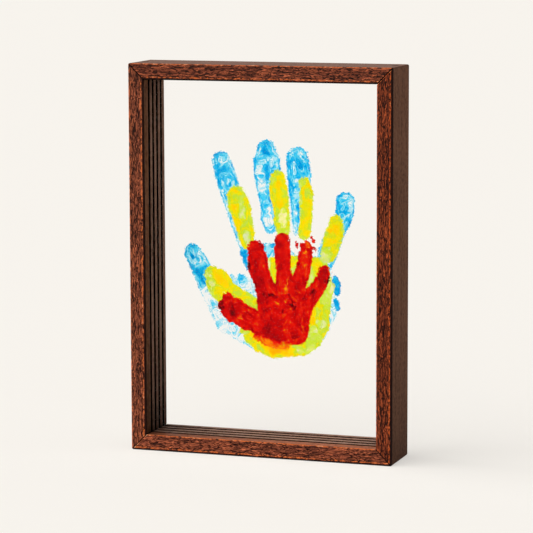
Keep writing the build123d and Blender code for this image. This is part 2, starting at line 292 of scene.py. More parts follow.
def brushed_wood(name, along, seed, stain):
    material, tree = new_material(name)
    streak, front, wear, painted_shade = [
        add(tree, "ShaderNodeAttribute", attribute_name=kind).outputs["Fac"]
        for kind in ("streak", "front", "wear", "painted_shade")]
    fibres, short, flecks, long_cracks, short_cracks, mark_breaks = drawn_out(tree, along, seed, (
        (8.0, 0.7), (2.6, 0.7), (0.8, 0.6), (20.0, 1.9), (8.0, 1.5), (2.6, 1.2)))
    grain = fibres
    for share, layer in ((0.45, short), (0.2, flecks), (0.2, streak)):
        grain = add(tree, "ShaderNodeMix", {0: share, 2: grain, 3: layer},
                    data_type="FLOAT").outputs[0]
    colour = add(tree, "ShaderNodeValToRGB", {"Fac": grain}, stops=[
        (0.4, "4a2217"), (0.45, "602e1e"), (0.5, "733927"), (0.55, "89462c"), (0.62, "a85738")])
    colour = colour.outputs["Color"]
    for layer, width in ((long_cracks, 0.05), (short_cracks, 0.045)):
        # A dark line, pore stain and painted shade, with a painted highlight on the lip beside it
        shade = add(tree, "ShaderNodeValToRGB", {"Fac": layer}, stops=[
            (0.5 - 1.5 * width, "bcbcbc"), (0.5 - 0.7 * width, "585858"), (0.5, "444444"),
            (0.5 + 0.8 * width, "e8e8e8"), (0.5 + 2 * width, "bcbcbc")])
        colour = add(tree, "ShaderNodeMix", {0: 1.0, 6: colour, 7: shade.outputs["Color"]},
                     data_type="RGBA", blend_type="OVERLAY").outputs[2]
    colour = add(tree, "ShaderNodeMix", {0: front, 6: linear("6a4530"), 7: colour},
                 data_type="RGBA").outputs[2]
    # Arris marks, worn stain and painted highlight, broken into beads by noise
    broken = add(tree, "ShaderNodeMath", {0: mark_breaks, 1: MARK_BREAK_SHARE, 2: wear}, operation="MULTIPLY_ADD")
    bare = add(tree, "ShaderNodeMapRange", {
        "Value": broken.outputs[0], "From Min": BARE_WEAR_AND_HIGHLIGHT[0], "From Max": BARE_WEAR_AND_HIGHLIGHT[1]})
    pale = add(tree, "ShaderNodeMapRange", {
        "Value": broken.outputs[0], "From Min": PALE_WEAR_AND_HIGHLIGHT[0], "From Max": PALE_WEAR_AND_HIGHLIGHT[1]})
    # Bare orange, and pale tan where strongest: worn stain and painted highlight on the arrises, painted
    # highlight on one mitre flank. Last, painted shade, near black
    for share, code in ((bare.outputs["Result"], "c8622e"), (pale.outputs["Result"], "e0b48e"),
                        (painted_shade, "1c0803")):
        colour = add(tree, "ShaderNodeMix", {0: share, 6: colour, 7: linear(code)},
                     data_type="RGBA").outputs[2]
    tinted = add(tree, "ShaderNodeMix", {0: 1.0, 6: colour, 7: linear(stain)},
                 data_type="RGBA", blend_type="MULTIPLY")
    bump = add(tree, "ShaderNodeBump", {
        "Height": grain, "Strength": 0.4, "Distance": 0.12 * MM})
    shader = add(tree, "ShaderNodeBsdfPrincipled", {
        "Base Color": tinted.outputs[2], "Roughness": 0.4, "Specular IOR Level": 0.06,
        "Normal": bump.outputs["Normal"]})
    finish_material(tree, shader.outputs["BSDF"])
    return material


# Sides, back and inside: the same stain on planed wood. The eye sees a calm matt brown with faint long
# lines. Inside the frame the front lip and the ridges take colours that hold painted light and shade,
# lighter on the bottom rail for its painted sheen, and in places painted shade darkens the wood to black.
LIP_DEPTH = -13.0


def planed_wood(name, along, seed, outside, lip, ridge):
    material, tree = new_material(name)
    inside, painted_shade = [add(tree, "ShaderNodeAttribute", attribute_name=kind).outputs["Fac"]
                    for kind in ("inside", "painted_shade")]
    broad, fine = drawn_out(tree, along, seed, ((45.0, 5.0), (3.0, 3.5)))
    lines = add(tree, "ShaderNodeMix", {0: 0.55, 2: broad, 3: fine}, data_type="FLOAT")
    shade = add(tree, "ShaderNodeValToRGB", {"Fac": lines.outputs[0]}, stops=[
        (0.38, "c0bab6"), (0.5, "e8e6e4"), (0.62, "ffffff")])
    coords = add(tree, "ShaderNodeTexCoord").outputs["Object"]
    place = add(tree, "ShaderNodeSeparateXYZ", {0: coords})
    # The inner lip and the ridges between the grooves: colours with painted light and shade in them
    behind = add(tree, "ShaderNodeMath", {0: place.outputs["Y"], 1: LIP_DEPTH * MM},
                 operation="GREATER_THAN")
    inner = add(tree, "ShaderNodeMix", {0: behind.outputs[0], 6: linear(lip), 7: linear(ridge)},
                data_type="RGBA")
    plain = add(tree, "ShaderNodeMix", {0: inside, 6: linear(outside), 7: inner.outputs[2]},
                data_type="RGBA")
    lined = add(tree, "ShaderNodeMix", {0: 1.0, 6: plain.outputs[2], 7: shade.outputs["Color"]},
                data_type="RGBA", blend_type="MULTIPLY")
    # Painted shade, near black
    darkened = add(tree, "ShaderNodeMix", {0: painted_shade, 6: lined.outputs[2], 7: linear("0a0302")},
                   data_type="RGBA")
    bump = add(tree, "ShaderNodeBump", {"Height": fine, "Strength": 0.25, "Distance": 0.05 * MM})
    shader = add(tree, "ShaderNodeBsdfPrincipled", {
        "Base Color": darkened.outputs[2], "Roughness": 0.3, "Specular IOR Level": 0.002,
        "Normal": bump.outputs["Normal"]})
    finish_material(tree, shader.outputs["BSDF"])
    return material


# Sawn wood in the grooves and on the mitres, nearly black: on the mitres stain soaks into the end
# grain, in the grooves the black is painted shade.
SAW_MARK_SIZE = 0.9


def sawn_wood(name, codes):
    material, tree = new_material(name)
    coords = add(tree, "ShaderNodeTexCoord").outputs["Object"]
    marks = add(tree, "ShaderNodeTexNoise", {
        "Vector": coords, "Scale": 1 / (SAW_MARK_SIZE * MM), "Detail": 2.0})
    colour = add(tree, "ShaderNodeValToRGB", {"Fac": marks.outputs["Fac"]}, stops=[
        (0.35, codes[0]), (0.65, codes[1])])
    shader = add(tree, "ShaderNodeBsdfPrincipled", {
        "Base Color": colour.outputs["Color"], "Roughness": 0.8, "Specular IOR Level": 0.05})
    finish_material(tree, shader.outputs["BSDF"])
    return material


# Clear acrylic: cast sheet, colourless, with a faint mirror at low angles
def clear_acrylic():
    material, tree = new_material("clear_cast_acrylic")
    clear = add(tree, "ShaderNodeBsdfTransparent", {"Color": linear("ffffff")})
    gloss = add(tree, "ShaderNodeBsdfAnisotropic", {"Roughness": 0.02, "Color": linear("ffffff")})
    share = add(tree, "ShaderNodeFresnel", {"IOR": 1.06})
    mixed = add(tree, "ShaderNodeMixShader", {
        0: share.outputs["Fac"], 1: clear.outputs["BSDF"], 2: gloss.outputs["BSDF"]})
    finish_material(tree, mixed.outputs["Shader"])
    return material


# Sawn and polished acrylic edge: slightly frosted and green
POLISH_MARK_SIZE = 1.11


def acrylic_edge():
    material, tree = new_material("polished_acrylic_edge")
    coords = add(tree, "ShaderNodeTexCoord").outputs["Object"]
    marks = add(tree, "ShaderNodeTexNoise", {
        "Vector": coords, "Scale": 1 / (POLISH_MARK_SIZE * MM), "Detail": 2.0})
    colour = add(tree, "ShaderNodeValToRGB", {"Fac": marks.outputs["Fac"]}, stops=[
        (0.3, "c9d6cf"), (0.7, "e4ebe6")])
    edge = add(tree, "ShaderNodeBsdfPrincipled", {
        "Base Color": colour.outputs["Color"], "Roughness": 0.2, "IOR": 1.49})
    clear = add(tree, "ShaderNodeBsdfTransparent", {"Color": linear("f2f6f3")})
    mixed = add(tree, "ShaderNodeMixShader", {
        0: 0.15, 1: clear.outputs["BSDF"], 2: edge.outputs["BSDF"]})
    finish_material(tree, mixed.outputs["Shader"])
    return material


# Dried water-based paint. The eye sees a clear stain where it is thin, a flat colour where more of it
# was left, thin lines that follow each finger's outline, overlapping dabs and a frayed edge.
BEND_SIZE = 6.0
BEND_REACH = 1.0
DAB_BEND = 2.5
FRAY = 1.3
FRAY_SIZE = 0.8


def dried_paint(name, body, tint, cover, streaks, lines, dabs, seams, fray, soft):
    """Body and tint are colours by load. A streak or line is (length, width, amount) in mm, dabs a size
    and an amount, and cover runs from one load to another, from one opacity to another."""
    material, tree = new_material(name)
    coords = add(tree, "ShaderNodeTexCoord").outputs["Object"]
    load, along, edge = [add(tree, "ShaderNodeAttribute", attribute_name=kind).outputs["Fac"]
                         for kind in ("load", "along", "edge")]
    lanes = add(tree, "ShaderNodeCombineXYZ", {0: along, 1: edge})
    bend = add(tree, "ShaderNodeTexNoise", {
        "Vector": coords, "Scale": 1 / (BEND_SIZE * MM), "Detail": 0.0})
    bent = add(tree, "ShaderNodeVectorMath", {
        0: bend.outputs["Color"], 1: [BEND_REACH] * 3, 2: lanes.outputs[0]}, operation="MULTIPLY_ADD")
    warped = add(tree, "ShaderNodeVectorMath", {
        0: bend.outputs["Color"], 1: [DAB_BEND * MM] * 3, 2: coords}, operation="MULTIPLY_ADD")
    changes = []
    for number, (length, width, amount) in enumerate(streaks + lines):
        place = add(tree, "ShaderNodeMapping", {
            "Vector": bent.outputs[0], "Scale": (1 / length, 1 / width, 1.0),
            "Location": (number * 7.3, number * 5.1, 0.0)})
        pattern = add(tree, "ShaderNodeTexNoise", {
            "Vector": place.outputs["Vector"], "Scale": 1.0, "Detail": 1.0, "Roughness": 0.5})
        change = pattern.outputs["Fac"]
        if number >= len(streaks):
            change = add(tree, "ShaderNodeValToRGB", {"Fac": change}, stops=[
                (0.44, "000000"), (0.48, "ffffff"), (0.52, "ffffff"), (0.56, "000000")])
            change = change.outputs["Color"]
        changes.append((change, amount))
    dab_size, dab_amount = dabs
    patches = add(tree, "ShaderNodeTexVoronoi", {
        "Vector": warped.outputs[0], "Scale": 1 / (dab_size * MM)})
    changes.append((patches.outputs["Color"], dab_amount))
    borders = add(tree, "ShaderNodeTexVoronoi", {
        "Vector": warped.outputs[0], "Scale": 1 / (dab_size * MM)}, feature="DISTANCE_TO_EDGE")
    seam = add(tree, "ShaderNodeMapRange", {
        "Value": borders.outputs["Distance"], "From Min": 0.01, "From Max": 0.07, "To Min": 1.0,
        "To Max": 0.0})
    changes.append((seam.outputs["Result"], seams))
    level = add(tree, "ShaderNodeMath", {
        0: load, 1: (sum(amount for length, width, amount in streaks) + dab_amount) / 2},
        operation="SUBTRACT").outputs[0]
    for change, amount in changes:
        level = add(tree, "ShaderNodeMath", {0: change, 1: amount, 2: level},
                    operation="MULTIPLY_ADD").outputs[0]
    solid = add(tree, "ShaderNodeValToRGB", {"Fac": level}, stops=body)
    clear = add(tree, "ShaderNodeValToRGB", {"Fac": level}, stops=tint)
    thin, thick, least, most = cover
    opacity = add(tree, "ShaderNodeMapRange", {
        "Value": level, "From Min": thin, "From Max": thick, "To Min": least, "To Max": most})
    bump = add(tree, "ShaderNodeBump", {
        "Height": level, "Strength": 0.3, "Distance": 0.12 * MM})
    paint = add(tree, "ShaderNodeBsdfPrincipled", {
        "Base Color": solid.outputs["Color"], "Roughness": 0.5, "Specular IOR Level": 0.02,
        "Normal": bump.outputs["Normal"]})
    stained = add(tree, "ShaderNodeBsdfTransparent", {"Color": clear.outputs["Color"]})
    film = add(tree, "ShaderNodeMixShader", {
        0: opacity.outputs["Result"], 1: stained.outputs["BSDF"], 2: paint.outputs["BSDF"]})
    ragged = add(tree, "ShaderNodeTexNoise", {
        "Vector": coords, "Scale": 1 / (FRAY_SIZE * MM), "Detail": 3.0, "Roughness": 0.6})
    rough = add(tree, "ShaderNodeMath", {0: ragged.outputs["Fac"], 1: fray, 2: edge},
                operation="MULTIPLY_ADD")
    laid = add(tree, "ShaderNodeMapRange", {
        "Value": rough.outputs[0], "From Min": fray / 2 + FRAY, "From Max": fray / 2 + FRAY + soft})
    bare = add(tree, "ShaderNodeBsdfTransparent", {"Color": linear("ffffff")})
    whole = add(tree, "ShaderNodeMixShader", {
        0: laid.outputs["Result"], 1: bare.outputs["BSDF"], 2: film.outputs["Shader"]})
    finish_material(tree, whole.outputs["Shader"])
    return material


# Screws: browned steel, dark and slightly warm
BROWNING_SIZE = 0.8


def browned_steel():
    material, tree = new_material("browned_screw_steel")
    coords = add(tree, "ShaderNodeTexCoord").outputs["Object"]
    wear = add(tree, "ShaderNodeTexNoise", {
        "Vector": coords, "Scale": 1 / (BROWNING_SIZE * MM), "Detail": 3.0})
    colour = add(tree, "ShaderNodeValToRGB", {"Fac": wear.outputs["Fac"]}, stops=[
        (0.3, "2b211c"), (0.6, "4a382d"), (0.8, "7a604c")])
    shader = add(tree, "ShaderNodeBsdfPrincipled", {
        "Base Color": colour.outputs["Color"], "Metallic": 1.0, "Roughness": 0.38})
    finish_material(tree, shader.outputs["BSDF"])
    return material


# V nails: bright rolled steel strip, with fine lines along the strip
ROLL_LINE_WIDTH = 0.167
ROLL_LINE_LENGTH = 2.5


def rolled_steel():
    material, tree = new_material("rolled_nail_steel")
    coords = add(tree, "ShaderNodeTexCoord").outputs["Object"]
    fine = 1 / (ROLL_LINE_WIDTH * MM)
    place = add(tree, "ShaderNodeMapping", {
        "Vector": coords, "Scale": (fine, 1 / (ROLL_LINE_LENGTH * MM), fine)})
    lines = add(tree, "ShaderNodeTexNoise", {
        "Vector": place.outputs["Vector"], "Scale": 1.0, "Detail": 2.0})
    colour = add(tree, "ShaderNodeValToRGB", {"Fac": lines.outputs["Fac"]}, stops=[
        (0.3, "8d8f90"), (0.7, "b9bbbb")])
    shader = add(tree, "ShaderNodeBsdfPrincipled", {
        "Base Color": colour.outputs["Color"], "Metallic": 1.0, "Roughness": 0.32})
    finish_material(tree, shader.outputs["BSDF"])
    return material


# Rails: sizes in mm; wear, painted highlight and painted shade as shares
FRONT_SPACING = 0.4
SIDE_SPACING = 1.4
SLICE_LENGTH = 0.7
MITRE_EASING = 0.55
MOUTH_EASING = 0.5
GRAIN_DEPTH = 0.14
GRAIN_SLANT = 0.35
GRAIN_WAVE = (18.0, 6.0, 2.0)
GRAIN_LAYERS = ((8.0, 0.75, 0.5, 7.3), (2.4, 0.65, 0.4, 19.1), (50.0, 3.0, 0.2, 31.7))
BACK_RELIEF = 0.06
# Worn stain and painted highlights along the arrises and at the mitres
ARRIS_MARK_SPREAD = 0.6
ARRIS_WEAR_AND_HIGHLIGHT = 1.25
BEAD_HIGHLIGHT = 1.05
MITRE_HIGHLIGHT = 1.65
# Painted shade beside the arrises that face away from the light, in one corner and at the feet
ARRIS_SHADE_WIDTH = 1.4
ARRIS_SHADE_REACH = 1.5
ARRIS_SHADE_WANDER = 0.35
ARRIS_SHADE_WANDER_SIZE = 4.0
ARRIS_SHADE_SOFTNESS = 0.3
ARRIS_SHADE_DEPTH_SOFTNESS = 0.7
BEAD_HIGHLIGHT_PLACE = 2.1
CORNER_SHADE = 0.6
CORNER_SHADE_REACH = 45.0
FOOT_SHADE = 0.3


def rail_section(bm):
    """The section as one face in the plane x = 0: y through the depth, z across from the outer side."""
    corners = [(-HALF_DEPTH, 0.0), (-HALF_DEPTH, RAIL_FACE)]
    bottom = RAIL_FACE - GROOVE_DEPTH
    for centre in GROOVE_CENTRES:
        low = centre - GROOVE_WIDTH / 2
        high = centre + GROOVE_WIDTH / 2
        corners += [(low, RAIL_FACE), (low, bottom), (high, bottom), (high, RAIL_FACE)]
    corners += [(HALF_DEPTH, RAIL_FACE), (HALF_DEPTH, 0.0)]
    bm.faces.new([bm.verts.new((0.0, depth, across)) for depth, across in corners])
    arrises = [v for v in bm.verts if abs(v.co.y) == HALF_DEPTH]
    mouths = [v for v in bm.verts if v.co.z == RAIL_FACE and v not in arrises]
    for verts, radius, segments in ((arrises, ARRIS_RADIUS, 4), (mouths, MOUTH_EASING, 1)):
        bmesh.ops.bevel(bm, geom=verts, offset=radius, segments=segments, profile=0.5,
                        affect="VERTICES", material=-1)
    for edge in bm.edges[:]:
        front = all(abs(v.co.y + HALF_DEPTH) < 0.01 for v in edge.verts)
        spacing = FRONT_SPACING if front else SIDE_SPACING
        cuts = int(edge.calc_length() / spacing)
        if cuts:
            bmesh.ops.subdivide_edges(bm, edges=[edge], cuts=cuts)


def grain_streaks(along, across, seed):
    """How high the wood stands at each point of the brushed front, from 0 in a pore to 1."""
    level = np.full_like(along, seed)
    wave_length, wave_width, wave_reach = GRAIN_WAVE
    wavy = across + wander(along / wave_length, across / wave_width, level) * wave_reach
    height = 0.5
    for length, width, share, aside in GRAIN_LAYERS:
        height = height + share * wander(along / length, wavy / width, level + aside)
    return np.clip(height, 0, 1)


def arris_wear_and_highlight(depth, across, inner):
    """Worn stain and painted highlight along an arris: most in the middle of its round, or a painted
    highlight on the flat beside painted shade.
    """
    inset = ARRIS_RADIUS * (1 - math.sqrt(0.5))
    wear = np.zeros_like(depth)
    for side in (-1, 1):
        for far in (False, True):
            shaded = side == -1 and far == inner
            spot_y = side * (HALF_DEPTH - (0 if shaded else inset))
            spot_z = BEAD_HIGHLIGHT_PLACE if shaded else inset
            gap = np.hypot(depth - spot_y, across - (RAIL_FACE - spot_z if far else spot_z))
            amount = BEAD_HIGHLIGHT if shaded else ARRIS_WEAR_AND_HIGHLIGHT
            wear = np.maximum(wear, amount * np.exp(-(gap / ARRIS_MARK_SPREAD) ** 2))
    return wear


def painted_arris_shade(along, depth, across, inner):
    """Painted shade along the front arris that faces away from the light, 0 to 1."""
    from_arris = RAIL_FACE - across if inner else across
    from_arris = from_arris + ARRIS_SHADE_WANDER * ripple(along, depth, ARRIS_SHADE_WANDER_SIZE, 5.0)
    front = 1 - ease(from_arris, ARRIS_SHADE_WIDTH - ARRIS_SHADE_SOFTNESS, ARRIS_SHADE_WIDTH + ARRIS_SHADE_SOFTNESS)
    return front * (1 - ease(depth + HALF_DEPTH, ARRIS_SHADE_REACH - ARRIS_SHADE_DEPTH_SOFTNESS,
                             ARRIS_SHADE_REACH + ARRIS_SHADE_DEPTH_SOFTNESS))


def round_outer_corner(vert, half):
    """Moves a point of the frame's outer corner onto the corner's radius."""
    centre_x = half - CORNER_RADIUS
    side = 1 if vert.co.x > 0 else -1
    out_x = side * vert.co.x - centre_x
    out_z = CORNER_RADIUS - vert.co.z
    if out_x > 0 and out_z > 0:
        reach = math.hypot(out_x, out_z)
        if reach > CORNER_RADIUS:
            vert.co.x = side * (centre_x + out_x * CORNER_RADIUS / reach)
            vert.co.z = CORNER_RADIUS - out_z * CORNER_RADIUS / reach


def wood_of_face(face):
    """Which wood a face shows: 0 the brushed front, 1 a groove, 2 a mitre, 3 a planed side."""
    centre = face.calc_center_median()
    if abs(face.normal.x) > 0.3:
        return 2
    if centre.y < -HALF_DEPTH + ARRIS_RADIUS:
        return 0
    near = min(abs(centre.y - middle) for middle in GROOVE_CENTRES)
    in_groove = near < GROOVE_WIDTH / 2 + MOUTH_EASING and RAIL_FACE / 2 < centre.z < RAIL_FACE - 0.01
    return 1 if in_groove else 3


def rail(name, half, gap, place, materials, seed, lit_mitre_end, shade_on_inner_arris, shaded_end):
    """One mitred and grooved rail. It lies along x with its outer side down, and place sets it. The ends,
    the one with a painted highlight on its mitre and the one darkened by painted shade, are -1 or 1
    along x, or 0 for none."""
    bm = bmesh.new()
    layers = [bm.verts.layers.float.new(kind) for kind in ("streak", "front", "wear", "inside", "painted_shade")]
    rail_section(bm)
    grown = bmesh.ops.extrude_face_region(bm, geom=bm.faces[:])
    far = {item for item in grown["geom"] if isinstance(item, bmesh.types.BMVert)}
    for vert in bm.verts:
        end = half - gap - vert.co.z
        vert.co.x = end if vert in far else -end
    bmesh.ops.recalc_face_normals(bm, faces=bm.faces[:])
    caps = [face for face in bm.faces if len(face.verts) > 4]
    for cap in caps:
        bmesh.ops.inset_region(bm, faces=[cap], thickness=MITRE_EASING, use_even_offset=True)
    long_edges = [e for e in bm.edges if abs(e.verts[0].co.x - e.verts[1].co.x) > half]
    for edge in long_edges:
        for vert in edge.verts:
            seen = abs(vert.co.y) > HALF_DEPTH - ARRIS_RADIUS * 1.01 or vert.co.z > RAIL_FACE / 2
            back_off = MITRE_EASING if seen else MITRE_EASING / 5
            vert.co.x -= math.copysign(back_off, vert.co.x)
    bm.normal_update()
    for face in bm.faces:
        face.material_index = wood_of_face(face)
    bmesh.ops.subdivide_edges(bm, edges=long_edges, cuts=int(2 * half / SLICE_LENGTH))
    verts = bm.verts[:]
    spots = np.array([vert.co for vert in verts])
    depth = spots[:, 1]
    height = grain_streaks(spots[:, 0], spots[:, 2] + GRAIN_SLANT * depth, seed)
    front = 1 - ease(depth, -HALF_DEPTH + 0.35, -HALF_DEPTH + ARRIS_RADIUS)
    # Worn stain and painted highlight along the arrises
    wear = arris_wear_and_highlight(depth, spots[:, 2], shade_on_inner_arris)
    from_mitre = half - gap - spots[:, 2] - spots[:, 0] * lit_mitre_end
    # Painted highlight on the lit flank of one mitre
    if lit_mitre_end:
        wear += MITRE_HIGHLIGHT * front * (1 - ease(from_mitre, MITRE_EASING, MITRE_EASING + SLICE_LENGTH))
    inside = ease(spots[:, 2], RAIL_FACE - 3 * ARRIS_RADIUS, RAIL_FACE - ARRIS_RADIUS / 2)
    back = ease(depth, HALF_DEPTH - ARRIS_RADIUS, HALF_DEPTH)
    # Painted shade beside the front arris that faces away from the light
    painted_shade = painted_arris_shade(spots[:, 0], depth, spots[:, 2], shade_on_inner_arris)
    # Painted shade towards one end: the bottom rail's left corner and the stiles' feet
    if shaded_end:
        from_end = half - RAIL_FACE - spots[:, 0] * shaded_end
        amount = (1 - front) * (FOOT_SHADE + (CORNER_SHADE - FOOT_SHADE) * inside)
        painted_shade = np.maximum(painted_shade, amount * np.exp(-np.maximum(from_end, 0) / CORNER_SHADE_REACH))
    sink = GRAIN_DEPTH * front * (1 - height) - BACK_RELIEF * back * (1.5 - height)
    marks = np.stack([height, front, wear, inside, painted_shade], axis=1)
    for vert, low, marks in zip(verts, sink.tolist(), marks.tolist()):
        for layer, value in zip(layers, marks):
            vert[layer] = value
        vert.co.y += low
        round_outer_corner(vert, half)
    bmesh.ops.transform(bm, matrix=place, verts=verts)
    bmesh.ops.recalc_face_normals(bm, faces=bm.faces[:])
    return new_piece(name, bm, materials, smooth_angle=50)


# Holes for the top rail's screws
SEAT_RIM_RADIUS = 3.0
SEAT_HOLE_RADIUS = 1.6
SEAT_RIM_DEPTH = 0.5
STILE_HOLE_RADIUS = 1.5
STILE_HOLE_DEPTH = 26.2
HOLE_SIDES = 32


def turned(bm, outline):
    """A solid turned about the z axis from an outline of (radius, z)."""
    verts = [bm.verts.new((radius, 0.0, z)) for radius, z in outline]
    edges = [bm.edges.new(pair) for pair in zip(verts, verts[1:])]
    bmesh.ops.spin(bm, geom=verts + edges, axis=(0, 0, 1), cent=(0, 0, 0), dvec=(0, 0, 0),
                   angle=math.radians(360), steps=HOLE_SIDES, use_merge=True)
    bmesh.ops.remove_doubles(bm, verts=bm.verts[:], dist=0.001)
    bmesh.ops.recalc_face_normals(bm, faces=bm.faces[:])


def drill(piece, side, outline):
    """Cuts a turned hole into a rail or stile at one screw, and gives it the grooves' raw wood, near black
    with painted shade.
    """
    bm = bmesh.new()
    turned(bm, outline)
    bmesh.ops.translate(bm, vec=(side * SCREW_X, SCREW_Y, FRAME_HEIGHT), verts=bm.verts[:])
    for face in bm.faces:
        face.material_index = 1
    cutter = new_piece("drill", bm, list(piece.data.materials))
    hole = piece.modifiers.new("hole", "BOOLEAN")
    hole.object = cutter
    hole.operation = "DIFFERENCE"
    hole.solver = "EXACT"
    solid = piece.evaluated_get(bpy.context.evaluated_depsgraph_get())
    drilled = bpy.data.meshes.new_from_object(solid)
    piece.modifiers.remove(hole)
    piece.data = drilled
    bpy.data.objects.remove(cutter)


def make_frame():
    """The four rails, each in place of its solid. Their grooves are painted in shade, less dark on the
    bottom rail, where more light falls in.
    """
    turn = math.radians(90)
    # Painted shade in the grooves and screw holes; the mitres' dark is stained end grain
    groove = sawn_wood("painted_shade_sawn_groove", ("030201", "0a0504"))
    lit_groove = sawn_wood("lighter_painted_shade_sawn_groove", ("1c110c", "30201a"))
    mitre = sawn_wood("dark_sawn_mitre", ("060302", "140a07"))
    seat_end = SEAT_RIM_DEPTH + SEAT_RIM_RADIUS - SEAT_HOLE_RADIUS
    seat = [(0, 1), (SEAT_RIM_RADIUS, 1), (SEAT_RIM_RADIUS, -SEAT_RIM_DEPTH),
            (SEAT_HOLE_RADIUS, -seat_end), (SEAT_HOLE_RADIUS, -2 * RAIL_FACE), (0, -2 * RAIL_FACE)]
    bore = [(0, 1), (STILE_HOLE_RADIUS, 1), (STILE_HOLE_RADIUS, -STILE_HOLE_DEPTH),
            (0, -STILE_HOLE_DEPTH)]
    # Node, half length, gap at the mitres, place, grain axis, seed, stains (front, outside, and inner lip
    # and ridges holding painted light and shade), body, holes, end with a painted highlight on its mitre,
    # whether painted shade lies on the inner arris rather than the outer, end darkened by painted shade
    rails = (
        ("bottom_rail", HALF_WIDTH, 0.0, Matrix.Identity(4), 0, 11.0,
         ("fafdfd", "704c39", "a26246", "b08874"), "frame", (), -1, False, -1),
        ("top_rail", HALF_WIDTH, TOP_MITRE_GAP,
         Matrix.Translation((0, 0, FRAME_HEIGHT)) @ Matrix.Rotation(2 * turn, 4, "Y"), 0, 23.0,
         ("e6e6e6", "764a35", "593a2a", "6c4e3e"), "top_rail", ((-1, seat), (1, seat)), 0, True, 0),
        ("left_stile", HALF_HEIGHT, 0.0,
         Matrix.Translation((-HALF_WIDTH, 0, HALF_HEIGHT)) @ Matrix.Rotation(turn, 4, "Y"), 2, 37.0,
         ("f2fafa", "704c39", "6c4832", "826353"), "frame", ((-1, bore),), 0, True, 1),
        ("right_stile", HALF_HEIGHT, 0.0,
         Matrix.Translation((HALF_WIDTH, 0, HALF_HEIGHT)) @ Matrix.Rotation(-turn, 4, "Y"), 2, 53.0,
         ("dcc6ab", "704c39", "64432f", "826353"), "frame", ((1, bore),), 1, False, -1),
    )
    for node, half, gap, place, along, seed, stains_and_light, body, holes, lit_mitre, inner, dark in rails:
        front = brushed_wood("brushed_stained_painted_light_" + node, along, seed, stains_and_light[0])
        planed = planed_wood("planed_stained_painted_light_" + node, along, seed, *stains_and_light[1:])
        woods = [front, lit_groove if node == "bottom_rail" else groove, mitre, planed]
        piece = rail(node + "_wood", half, gap, place, woods, seed, lit_mitre, inner, dark)
        for side, outline in holes:
            drill(piece, side, outline)
        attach(piece, body)
        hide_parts(node)


# Clear sheets
POLISH_EASING = 0.15


def clear_sheet(name, centre_y, materials):
    """A sheet with rounded corners and eased edges."""
    bm = bmesh.new()
    bmesh.ops.create_cube(bm, size=1.0)
    size = (2 * SHEET_HALF_WIDTH, SHEET_THICKNESS, SHEET_HIGH - SHEET_LOW)
    bmesh.ops.scale(bm, vec=size, verts=bm.verts[:])
    corners = [e for e in bm.edges if abs(e.verts[0].co.y - e.verts[1].co.y) > 1]
    bmesh.ops.bevel(bm, geom=corners, offset=SHEET_CORNER_RADIUS, segments=6, profile=0.5,
                    affect="EDGES", material=-1)
    rims = [e for e in bm.edges if abs(e.verts[0].co.y - e.verts[1].co.y) < 0.01]
    bmesh.ops.bevel(bm, geom=rims, offset=POLISH_EASING, segments=2, profile=0.5,
                    affect="EDGES", material=-1)
    for face in bm.faces:
        face.material_index = 0 if abs(face.normal.y) > 0.99 else 1
    bmesh.ops.translate(bm, vec=(0, centre_y, (SHEET_LOW + SHEET_HIGH) / 2), verts=bm.verts[:])
    return new_piece(name, bm, materials)


def make_sheets():
    materials = [clear_acrylic(), acrylic_edge()]
    sheets = (("front", "front_clear_sheet"), ("red", "red_print_sheet"),
              ("yellow", "yellow_print_sheet"), ("blue", "blue_print_sheet"))
    for (colour, node), centre_y in zip(sheets, GROOVE_CENTRES):
        piece = clear_sheet(node + "_acrylic", centre_y, materials)
        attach(piece, colour + "_sheet")
        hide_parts(node)


# Prints
FILM_CLEARANCE = 0.01
THINNEST_SHARE = 0.35
LANE_SHIFT = 17.0
TIP_LENGTH = 9.0
STROKE_SHARE = 0.6
STROKE_WANDER = 1.6
STROKE_WANDER_SIZE = 3.0
BROAD_WAVE = 3.5
FINE_WAVE = 1.2
RIM_INSET = 0.7
RIM_WIDTH = 0.6
RIM_LOAD = 1.6
PATCH_SIZE = 5.0
PRINT_MARGIN = 3.0
FAR_OUTSIDE = -4.0

# How much paint each part of the blue hand left
BLUE_LOADS = {
    "index": 0.46, "index_spur": 0.75, "middle": 0.47, "ring": 0.5, "little": 0.48, "thumb": 0.45,
    "thumb_root": 0.17, "web": 0.25, "web_peak": 0.3, "heel": 0.19, "edge": 0.2, "knuckles": 0.25,
    "hollow": 0.2, "edge_mark": 0.85, "edge_dab": 0.95,
}

